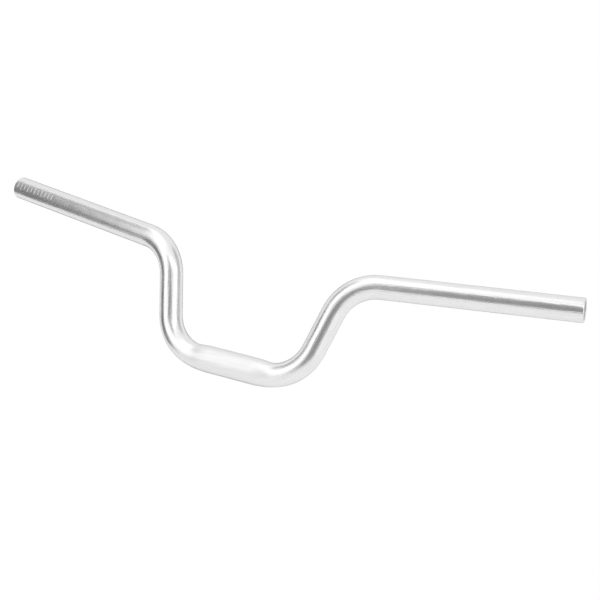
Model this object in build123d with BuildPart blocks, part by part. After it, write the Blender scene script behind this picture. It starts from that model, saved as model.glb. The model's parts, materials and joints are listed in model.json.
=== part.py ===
from build123d import *
from math import cos, radians, sin
import os

# Riser handlebar: one aluminium tube, open at both ends, swaged up to the stem's diameter in the middle
# and bent twice on each side.
# The origin is the centre of the clamp. X runs along the clamp to the right-hand grip, Y towards the
# rider and Z up, so the rise stands in the XZ plane. Sizes are in millimetres, angles in degrees.

overall_width = 610.0  # between the centres of the two open ends
base_width = 137.0  # between the corners of the lower bends, on the centreline
shoulder_width = 190.0  # between the corners of the upper bends, on the centreline
rise = 98.5  # from the clamp's centre up to the upper corners
backsweep = 8.0  # of the grips, towards the rider
upsweep = 6.5  # of the grips, above level
lower_bend_radius = 44.0  # on the centreline
upper_bend_radius = 44.0  # on the centreline

tube_diameter = 22.2  # outside, where grips and levers go
clamp_diameter = 25.4  # outside, where the stem clamps
tube_wall = 2.1
clamp_length = 44.0  # parallel stretch in the middle
swage_length = 29.0  # from the clamp down to the plain tube, along the centreline
swage_sections = 9  # rings that the swage is drawn through
end_rounding = 0.8  # on the outer edge of each open end
bore_chamfer = 0.5  # on the inner edge of each open end

tube_radius = tube_diameter / 2
clamp_radius = clamp_diameter / 2

# Centreline of the right half: clamp, lower bend, arm, upper bend, grip
grip_direction = Vector(
    cos(radians(upsweep)) * cos(radians(backsweep)),
    cos(radians(upsweep)) * sin(radians(backsweep)),
    sin(radians(upsweep)),
)
lower_corner = Vector(base_width / 2, 0, 0)
upper_corner = Vector(shoulder_width / 2, 0, rise)
grip_length = (overall_width - shoulder_width) / 2 / grip_direction.X
grip_end = upper_corner + grip_direction * grip_length

with BuildLine() as centreline:
    FilletPolyline(
        (0, 0, 0),
        lower_corner,
        upper_corner,
        grip_end,
        radius=(lower_bend_radius, upper_bend_radius),
    )

path = centreline.wire()
swage_start = clamp_length / 2
swage_end = swage_start + swage_length


def section_plane(distance):
    """The plane square to the centreline at a distance from the middle of the bar."""
    share = distance / path.length
    return Plane(origin=path @ share, x_dir=(0, 1, 0), z_dir=path % share)


def ring(outer_radius):
    """Draws the tube's wall in the current sketch."""
    Circle(outer_radius)
    Circle(outer_radius - tube_wall, mode=Mode.SUBTRACT)


def swage_radius(share):
    """Outer radius along the swage, which leaves both of its ends without a kink."""
    blend = share**3 * (10 - 15 * share + 6 * share**2)
    return clamp_radius + (tube_radius - clamp_radius) * blend


with BuildPart() as handlebar:
    # Swage, which starts on the straight and runs on into the lower bend
    for step in range(swage_sections):
        along = step / (swage_sections - 1)
        with BuildSketch(section_plane(swage_start + along * swage_length)):
            ring(swage_radius(along))
    loft()

    # Plain tube, through the rest of the lower bend and the upper bend to the open end
    with BuildSketch(section_plane(swage_end)):
        ring(tube_radius)
    sweep(path=path.trim(swage_end / path.length, 1))

    # Edges of the open end, where a grip slides on and a plug goes in
    grip_axis = Axis(upper_corner, grip_direction)
    end_face = handlebar.faces().sort_by(grip_axis)[-1]
    fillet(end_face.outer_wire().edges(), radius=end_rounding)
    end_face = handlebar.faces().sort_by(grip_axis)[-1]
    chamfer(end_face.inner_wires()[0].edges(), length=bore_chamfer)

    # The left half mirrors the right half
    mirror(about=Plane.YZ)

    # Parallel clamp, which joins the two halves
    with BuildSketch(Plane.YZ):
        ring(clamp_radius)
    extrude(amount=swage_start, both=True)

handlebar.part.label = "handlebar"

os.makedirs("parts", exist_ok=True)
export_step(handlebar.part, "parts/handlebar.step")
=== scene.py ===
import bpy
import json
import numpy
from math import ceil, cos, pi, radians, sin, tan
from mathutils import Matrix, Vector


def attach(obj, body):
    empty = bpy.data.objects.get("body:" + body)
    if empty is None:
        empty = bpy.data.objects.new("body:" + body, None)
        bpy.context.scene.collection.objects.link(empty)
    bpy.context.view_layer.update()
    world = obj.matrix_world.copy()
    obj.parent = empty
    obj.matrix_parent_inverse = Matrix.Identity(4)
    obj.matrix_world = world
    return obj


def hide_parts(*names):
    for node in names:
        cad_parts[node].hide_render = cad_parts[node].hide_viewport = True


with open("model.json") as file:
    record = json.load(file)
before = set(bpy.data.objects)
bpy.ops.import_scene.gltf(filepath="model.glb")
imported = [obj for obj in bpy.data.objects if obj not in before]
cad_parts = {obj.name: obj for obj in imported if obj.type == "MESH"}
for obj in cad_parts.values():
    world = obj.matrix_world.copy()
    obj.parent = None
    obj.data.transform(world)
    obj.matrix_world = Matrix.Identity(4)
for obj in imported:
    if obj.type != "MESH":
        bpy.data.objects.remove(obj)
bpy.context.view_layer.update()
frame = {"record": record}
print("frame loaded")

# The bar's stretches, read from the frame's mounts. Everything is in metres.
mounts = {mount["name"]: mount for mount in frame["record"]["mounts"]}
clampMount = mounts["stem_clamp"]
gripMount = mounts["right_grip"]
boreMount = mounts["right_end_bore"]

bar = {
    "lowerCorner": 0.0685,  # from the middle to where the lower bend's two straights would meet
    "lowerBendRadius": 0.044,
    "swageLength": 0.029,  # from the clamp down to the plain tube, along the centreline
    "swageSteps": 24,
    "endRounding": 0.0008,  # outer edge of each open end
    "boreChamfer": 0.0005,  # inner edge of each open end
    "facets": 96,  # round the tube
    "ringPitch": 0.0025,  # between rings along the tube
    "roundingSteps": 6,
    "chamferSteps": 1,
    "weld": 0.00001,  # points nearer than this are merged
    "smoothAngle": 30,  # degrees, past which an edge stays sharp
}


def millimetres(mount, name):
    return mount["dims"][name] / 1000


clampRadius = millimetres(clampMount, "r_mm")
clampHalf = millimetres(clampMount, "length_mm") / 2
tubeRadius = millimetres(gripMount, "r_mm")
boreRadius = millimetres(boreMount, "r_mm")
wall = tubeRadius - boreRadius

gripAxis = Vector(gripMount["axis"]).normalized()
gripMiddle = Vector(gripMount["pos_m"])
gripStart = gripMiddle - gripAxis * millimetres(gripMount, "length_mm") / 2
gripEnd = gripMiddle + gripAxis * (millimetres(gripMount, "length_mm") / 2 + bar["endRounding"])

# Corners of the centreline, on which the two bends are drawn. The rise stands in the plane y = 0.
clampAxis = Vector((1, 0, 0))
lowerCorner = clampAxis * bar["lowerCorner"]
upperCorner = gripStart - gripAxis * (gripStart.y / gripAxis.y)
armAxis = (upperCorner - lowerCorner).normalized()


# A bend leaves one straight and meets the next, both touching its circle
def bendBetween(corner, before, after, setBack):
    turn = before.angle(after)
    radius = setBack / tan(turn / 2)
    inward = (after - before * before.dot(after)).normalized()
    start = corner - before * setBack
    return {
        "turn": turn,
        "radius": radius,
        "start": start,
        "end": corner + after * setBack,
        "centre": start + inward * radius,
        "axle": before.cross(after).normalized(),
        "inward": inward,
        "before": before,
        "after": after,
    }


lowerSetBack = bar["lowerBendRadius"] * tan(clampAxis.angle(armAxis) / 2)
lowerBend = bendBetween(lowerCorner, clampAxis, armAxis, lowerSetBack)
upperBend = bendBetween(upperCorner, armAxis, gripAxis, (upperCorner - gripStart).length)


def selectNothing():
    if bpy.context.object and bpy.context.object.mode != "OBJECT":
        bpy.ops.object.mode_set(mode="OBJECT")
    bpy.ops.object.select_all(action="DESELECT")


def pushRing(offset):
    bpy.ops.mesh.extrude_region_move(TRANSFORM_OT_translate={"value": offset})


def pushStraight(direction, length):
    steps = ceil(length / bar["ringPitch"])
    for step in range(steps):
        pushRing(direction * (length / steps))


# Spin turns left-handed about its axis, so the angle is negative
def pushBend(bend, angle):
    steps = ceil(angle * bend["radius"] / bar["ringPitch"])
    bpy.ops.mesh.spin(steps=steps, angle=-angle, center=bend["centre"], axis=bend["axle"])


# Where the middle of the tube is once the bend has turned by the angle
def turnedPoint(bend, angle):
    spoke = bend["start"] - bend["centre"]
    return bend["centre"] + Matrix.Rotation(angle, 3, bend["axle"]) @ spoke


# Radius along the swage, which leaves both of its ends without a kink
def swageRadius(share):
    blend = share**3 * (10 - 15 * share + 6 * share**2)
    return clampRadius + (tubeRadius - clampRadius) * blend


# The swage starts on the straight and runs on into the lower bend.
# Returns the angle that the bend has turned by the swage's end.
def pushSwage(bend):
    straight = bend["start"].x - clampHalf
    before = 0
    for step in range(1, bar["swageSteps"] + 1):
        along = bar["swageLength"] * step / bar["swageSteps"]
        if before < straight < along:
            along = straight  # one ring stands where the bend begins
        if along <= straight:
            pushRing(clampAxis * (along - before))
            middle = clampAxis * (clampHalf + along)
        else:
            pushBend(bend, (along - before) / bend["radius"])
            middle = turnedPoint(bend, (along - straight) / bend["radius"])
        ratio = swageRadius(along / bar["swageLength"]) / swageRadius(before / bar["swageLength"])
        bpy.ops.transform.resize(value=(ratio, ratio, ratio), center_override=middle)
        before = along
    return (before - straight) / bend["radius"]


# Half of the tube's outer face, ring by ring from the clamp's middle to the right-hand end
def pushHalf():
    bpy.ops.mesh.select_all(action="SELECT")
    pushStraight(clampAxis, clampHalf)
    turned = pushSwage(lowerBend)
    pushBend(lowerBend, lowerBend["turn"] - turned)
    pushStraight(armAxis, (upperBend["start"] - lowerBend["end"]).length)
    pushBend(upperBend, upperBend["turn"])
    pushStraight(gripAxis, (gripEnd - gripStart).length)


def applyModifier(piece, kind, **settings):
    modifier = piece.modifiers.new(kind.lower(), kind)
    for name, value in settings.items():
        setattr(modifier, name, value)
    bpy.ops.object.modifier_apply(modifier=modifier.name)


# Selects the edges that run round an open end at a given distance from the grip's line
def selectRim(piece, radius):
    tolerance = 0.00005
    for vertex in piece.data.vertices:
        place = Vector((abs(vertex.co.x), vertex.co.y, vertex.co.z))
        along = (place - gripEnd).dot(gripAxis)
        out = (place - gripEnd - gripAxis * along).length
        vertex.select = abs(along) < tolerance and abs(out - radius) < tolerance
    for edge in piece.data.edges:
        edge.select = all(piece.data.vertices[corner].select for corner in edge.vertices)
    for face in piece.data.polygons:
        face.select = False


def bevelRim(piece, radius, offset, steps):
    selectRim(piece, radius)
    bpy.ops.object.mode_set(mode="EDIT")
    bpy.ops.mesh.select_mode(type="EDGE")
    bpy.ops.mesh.bevel(offset=offset, offset_type="OFFSET", segments=steps, profile=0.5)
    bpy.ops.object.mode_set(mode="OBJECT")


def modelBar():
    selectNothing()
    bpy.ops.mesh.primitive_circle_add(
        vertices=bar["facets"], radius=clampRadius, rotation=(0, pi / 2, 0)
    )
    piece = bpy.context.object
    piece.name = "handlebar_tube"
    bpy.ops.object.transform_apply(location=True, rotation=True, scale=True)
    bpy.ops.object.mode_set(mode="EDIT")
    pushHalf()
    bpy.ops.mesh.select_all(action="SELECT")
    bpy.ops.mesh.remove_doubles(threshold=bar["weld"])
    bpy.ops.object.mode_set(mode="OBJECT")
    applyModifier(piece, "MIRROR", use_axis=(True, False, False), merge_threshold=bar["weld"])
    bpy.ops.object.mode_set(mode="EDIT")
    bpy.ops.mesh.select_all(action="SELECT")
    bpy.ops.mesh.normals_make_consistent(inside=False)
    bpy.ops.object.mode_set(mode="OBJECT")
    applyModifier(piece, "SOLIDIFY", thickness=wall, offset=-1, use_even_offset=True)
    bevelRim(piece, tubeRadius, bar["endRounding"], bar["roundingSteps"])
    bevelRim(piece, boreRadius, bar["boreChamfer"], bar["chamferSteps"])
    bpy.ops.object.shade_smooth_by_angle(angle=radians(bar["smoothAngle"]))
    return piece


# Where a point of the bar was when the tube was still straight, along X, before it was bent.
# The grain and the trim strokes follow these coordinates round the bends.
def straightened(places):
    side = numpy.where(places[:, 0] < 0, -1.0, 1.0)
    points = places * numpy.stack([side, numpy.ones_like(side), numpy.ones_like(side)], axis=1)
    result = points.copy()
    distance = 0.0
    upright = numpy.array((0.0, 0.0, 1.0))
    sideways = numpy.array((0.0, 1.0, 0.0))
    begin = numpy.zeros(3)
    for bend in (lowerBend, upperBend):
        before, after = numpy.array(bend["before"]), numpy.array(bend["after"])
        start, centre = numpy.array(bend["start"]), numpy.array(bend["centre"])
        axle, inward = numpy.array(bend["axle"]), numpy.array(bend["inward"])
        distance += numpy.linalg.norm(start - begin)
        # through the bend
        past = (points - start) @ before > 0
        arm = points[past] - centre
        out, ahead = -(arm @ inward), arm @ before
        angle = numpy.clip(numpy.arctan2(ahead, out), 0, bend["turn"])
        reach = numpy.hypot(out, ahead)
        offset = numpy.outer(bend["radius"] - reach, inward) + numpy.outer(arm @ axle, axle)
        result[past, 0] = distance + angle * bend["radius"]
        result[past, 1] = offset @ sideways
        result[past, 2] = offset @ upright
        # beyond it, where the tube's own Y and Z have turned with it
        turn = numpy.array(Matrix.Rotation(bend["turn"], 3, bend["axle"]))
        sideways, upright = turn @ sideways, turn @ upright
        begin = numpy.array(bend["end"])
        distance += bend["turn"] * bend["radius"]
        beyond = past & ((points - begin) @ after > 0)
        rest = points[beyond] - begin
        result[beyond, 0] = distance + rest @ after
        result[beyond, 1] = rest @ sideways
        result[beyond, 2] = rest @ upright
    result[:, 0] *= side
    return result


def markStraightened(piece):
    places = numpy.empty(len(piece.data.vertices) * 3)
    piece.data.vertices.foreach_get("co", places)
    attribute = piece.data.attributes.new("straightened", "FLOAT_VECTOR", "POINT")
    attribute.data.foreach_set("vector", straightened(places.reshape(-1, 3)).ravel())


handlebar = modelBar()
markStraightened(handlebar)
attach(handlebar, "root")
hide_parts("handlebar")
print("bar modelled")


# A node's output. Sums on it add Math nodes beside it.
class Wire:
    def __init__(self, tree, socket=None):
        self.tree = tree
        self.socket = socket

    def node(self, kind, settings=None, inputs=None, output=0):
        made = self.tree.nodes.new("ShaderNode" + kind)
        for name, value in (settings or {}).items():
            setattr(made, name, value)
        for name, value in (inputs or {}).items():
            if isinstance(value, Wire):
                self.tree.links.new(value.socket, made.inputs[name])
            else:
                made.inputs[name].default_value = value
        return Wire(self.tree, made.outputs[output] if made.outputs else None)

    def maths(self, operation, first, second=0.0):
        return self.node("Math", {"operation": operation}, {0: first, 1: second})

    def __add__(self, other):
        return self.maths("ADD", self, other)

    __radd__ = __add__

    def __sub__(self, other):
        return self.maths("SUBTRACT", self, other)

    def __rsub__(self, other):
        return self.maths("SUBTRACT", other, self)

    def __mul__(self, other):
        return self.maths("MULTIPLY", self, other)

    __rmul__ = __mul__


def newMaterial(name):
    material = bpy.data.materials.new(name)
    material.use_nodes = True
    material.node_tree.nodes.clear()
    return material, Wire(material.node_tree)


aluminium = {
    "color": (0.800, 0.800, 0.800),
    "edgeTint": (0.86, 0.86, 0.86, 1),  # the metal is a little darker where it turns away
    "roughness": 0.27,
    "clampRoughness": 0.38,  # the clamp is blasted
    "clampBlend": (0.030, 0.052),  # metres from the middle, where the blasting fades out
    "boreRoughness": 0.6,
    "cloudScale": 70,  # per metre, for slow changes of the roughness
    "cloudAmount": 0.05,
    "waveScale": 55,  # per metre, for the slow waves of a polished tube
    "waveDepth": 0.00012,  # metres
    "grainScale": 850,  # per metre, for the fine grain
    "grainAlong": 0.08,  # how much slower the grain changes along the tube than round it
    "grainDepth": 0.00013,  # metres
    "grainShade": 0.08,  # how far the grain lightens and darkens the color
}

# Plain strokes for trimming, etched on the left-hand end
scale = {
    "pitch": 0.005,  # metres, as are the next four
    "strokeWidth": 0.0012,
    "softness": 0.0004,
    "first": 0.004,  # metres from the end
    "last": 0.056,
    "around": 0.06,  # radians up round the tube from its front
    "reach": 0.24,  # radians to each side of there
    "longReach": 0.32,  # the same for every second stroke
    "color": (0.85, 0.85, 0.85, 1),
    "roughness": 0.45,
}

halfLength = (
    lowerBend["start"].length
    + lowerBend["turn"] * lowerBend["radius"]
    + (upperBend["start"] - lowerBend["end"]).length
    + upperBend["turn"] * upperBend["radius"]
    + (gripEnd - gripStart).length
)


# 1 where the value is within the reach of the middle
def near(value, middle, reach):
    return value.node("Math", {"operation": "COMPARE"}, {0: value, 1: middle, 2: reach})


# High up to the first value, low from the second on, and a soft change between them
def fading(value, full, none, high=1.0, low=0.0):
    return value.node(
        "MapRange",
        {"interpolation_type": "SMOOTHSTEP"},
        {"Value": value, "From Min": full, "From Max": none, "To Min": high, "To Max": low},
    )


# A Mix node's color sockets come after those for values
def mixed(share, first, second):
    return share.node("Mix", {"data_type": "RGBA"}, {0: share, 6: first, 7: second}, 2)


# 1 on the strokes and 0 beside them
def scaleMask(place):
    x, y, z = (place.node("SeparateXYZ", {}, {"Vector": place}, axis) for axis in "XYZ")
    fromEnd = x + halfLength
    angle = place.maths("ARCTAN2", z, y * -1.0)
    toStroke = place.maths("PINGPONG", fromEnd, scale["pitch"] / 2)
    half = scale["strokeWidth"] / 2
    stroke = fading(toStroke, half - scale["softness"], half + scale["softness"])
    toLongStroke = place.maths("PINGPONG", fromEnd, scale["pitch"])
    isLong = near(toLongStroke, 0.0, scale["pitch"] / 2)
    reach = isLong * (scale["longReach"] - scale["reach"]) + scale["reach"]
    inReach = near(angle, scale["around"], reach)
    span = (scale["last"] - scale["first"]) / 2
    inSpan = near(fromEnd, scale["first"] + span, span)
    return stroke * inReach * inSpan


def satinAluminium():
    material, start = newMaterial("satin_aluminium")
    place = start.node("Attribute", {"attribute_name": "straightened"}, output="Vector")
    along = start.maths("ABSOLUTE", start.node("SeparateXYZ", {}, {"Vector": place}, "X"))
    cloud = start.node("TexNoise", {}, {"Vector": place, "Scale": aluminium["cloudScale"]}, "Fac")
    blend = aluminium["clampBlend"]
    plain = fading(along, *blend, aluminium["clampRoughness"], aluminium["roughness"])
    plain = plain + (cloud - 0.5) * aluminium["cloudAmount"]
    marks = scaleMask(place)
    etched = plain + marks * (scale["roughness"] - aluminium["roughness"])
    across = start.node("Mapping", {}, {"Vector": place, "Scale": (0, 1, 1)})
    fromAxis = start.node("VectorMath", {"operation": "LENGTH"}, {0: across}, "Value")
    inBore = start.maths("LESS_THAN", fromAxis, tubeRadius - wall / 2)
    roughness = etched + inBore * (aluminium["boreRoughness"] - aluminium["roughness"])
    wave = start.node(
        "TexNoise", {}, {"Vector": place, "Scale": aluminium["waveScale"], "Detail": 1}, "Fac"
    )
    stretch = (aluminium["grainAlong"], 1, 1)
    stretched = start.node("Mapping", {}, {"Vector": place, "Scale": stretch})
    grain = start.node(
        "TexNoise", {}, {"Vector": stretched, "Scale": aluminium["grainScale"], "Detail": 2}, "Fac"
    )
    darker = [part * (1 - aluminium["grainShade"]) for part in aluminium["color"]]
    lighter = [part * (1 + aluminium["grainShade"]) for part in aluminium["color"]]
    bare = mixed(grain, (*darker, 1), (*lighter, 1))
    color = mixed(marks, bare, scale["color"])
    waved = start.node("Bump", {}, {"Height": wave, "Distance": aluminium["waveDepth"]}, "Normal")
    grained = {"Height": grain, "Distance": aluminium["grainDepth"], "Normal": waved}
    bump = start.node("Bump", {}, grained, "Normal")
    metal = start.node(
        "BsdfPrincipled",
        {},
        {
            "Base Color": color,
            "Metallic": 1,
            "Roughness": roughness,
            "Specular Tint": aluminium["edgeTint"],
            "Normal": bump,
        },
    )
    start.node("OutputMaterial", {}, {"Surface": metal})
    return material


handlebar.data.materials.append(satinAluminium())
print("bar finished")

# The camera is where the photograph was taken from
view = {
    "place": (0.6066, -1.1953, 0.0419),
    "turn": (91.443, -13.881, 24.561),  # degrees
    "lens": 85.78,  # millimetres
}


def addCamera():
    turn = [radians(degrees) for degrees in view["turn"]]
    bpy.ops.object.camera_add(location=view["place"], rotation=turn)
    camera = bpy.context.object
    camera.data.lens = view["lens"]
    bpy.context.scene.camera = camera


# Everything round the bar is placed by its direction from the bar's middle, in degrees.
# The first is 0 straight in front and 90 on the right-hand grip's side. The second is above level.
studio = {
    "middle": (0, 0.01, 0.06),
    "softboxDistance": 1.5,
    "panelDistance": 1.53,  # of the first panel
    "panelStep": 0.03,  # each of the others stands a little behind the one before
}


def directionOf(azimuth, elevation):
    a, e = radians(azimuth), radians(elevation)
    return Vector((sin(a) * cos(e), -cos(a) * cos(e), sin(e)))


# The place and the turn of a card that faces the bar from there
def facingBar(direction, distance):
    outward = directionOf(*direction)
    place = Vector(studio["middle"]) + outward * distance
    return place, outward.to_track_quat("Z", "Y").to_euler()


softboxes = [
    {"name": "softbox_left", "direction": (-35, 29), "size": (1.38, 3.00), "light": 0.36},
    {"name": "softbox_right", "direction": (42, 17), "size": (2.03, 1.49), "light": 0.68},
]

panels = [
    {"name": "dark_round_camera", "direction": (21, 0), "size": (1.54, 1.64), "light": 0.26},
    {"name": "dark_left", "direction": (-75, -17), "size": (0.72, 0.81), "light": 0.15},
    {"name": "grey_left", "direction": (-61, 12), "size": (0.55, 2.29), "light": 0.14},
    {"name": "grey_right", "direction": (111, 29), "size": (0.84, 2.75), "light": 0.51},
    {"name": "grey_behind", "direction": (-148, -34), "size": (0.50, 1.97), "light": 0.10},
    {"name": "grey_back", "direction": (-153, 2), "size": (1.60, 1.60), "light": 0.35},
]


# The energy is set so that a mirror shows the lamp as bright as its "light"
def addSoftbox(box):
    width, height = box["size"]
    place, turn = facingBar(box["direction"], studio["softboxDistance"])
    bpy.ops.object.light_add(type="AREA", location=place, rotation=turn)
    lamp = bpy.context.object
    lamp.name = box["name"]
    lamp.data.shape = "RECTANGLE"
    lamp.data.size = width
    lamp.data.size_y = height
    lamp.data.energy = box["light"] * width * height * pi
    lamp.visible_camera = False


def addPanel(panel, distance):
    place, turn = facingBar(panel["direction"], distance)
    bpy.ops.mesh.primitive_plane_add(size=1, location=place, rotation=turn)
    card = bpy.context.object
    card.name = panel["name"]
    card.scale = (*panel["size"], 1)
    material, start = newMaterial(panel["name"])
    glow = start.node("Emission", {}, {"Color": (1, 1, 1, 1), "Strength": panel["light"]})
    start.node("OutputMaterial", {}, {"Surface": glow})
    card.data.materials.append(material)
    card.visible_camera = False


def addWorld():
    world = bpy.data.worlds.new("white_studio")
    bpy.context.scene.world = world
    world.use_nodes = True
    world.node_tree.nodes.clear()
    start = Wire(world.node_tree)
    white = start.node("Background", {}, {"Color": (1, 1, 1, 1), "Strength": 1})
    start.node("OutputWorld", {}, {"Surface": white})


floor = {
    "height": -0.95,
    "size": 12,
    "color": 0.5,
    "glow": 0.55,  # with the light that falls on it, this makes the floor white
    "cameraGlow": 0.6,  # the same for the camera, which sees its far side
}


# The floor looks white, and keeps the bar's soft shadow
def addFloor():
    bpy.ops.mesh.primitive_plane_add(size=floor["size"], location=(0, 0, floor["height"]))
    ground = bpy.context.object
    ground.name = "floor"
    material, start = newMaterial("pale_floor")
    isCamera = start.node("LightPath", output="Is Camera Ray")
    white = (1, 1, 1, 1)
    glow = start.node("Emission", {}, {"Color": white, "Strength": floor["glow"]})
    cameraGlow = start.node("Emission", {}, {"Color": white, "Strength": floor["cameraGlow"]})
    glowing = start.node("MixShader", {}, {0: isCamera, 1: glow, 2: cameraGlow})
    matt = start.node("BsdfDiffuse", {}, {"Color": (*[floor["color"]] * 3, 1)})
    both = start.node("AddShader", {}, {0: glowing, 1: matt})
    start.node("OutputMaterial", {}, {"Surface": both})
    ground.data.materials.append(material)


selectNothing()
addCamera()
addWorld()
addFloor()
for box in softboxes:
    addSoftbox(box)
for order, panel in enumerate(panels):
    addPanel(panel, studio["panelDistance"] + order * studio["panelStep"])
bpy.context.scene.view_settings.view_transform = "Standard"
print("studio set")
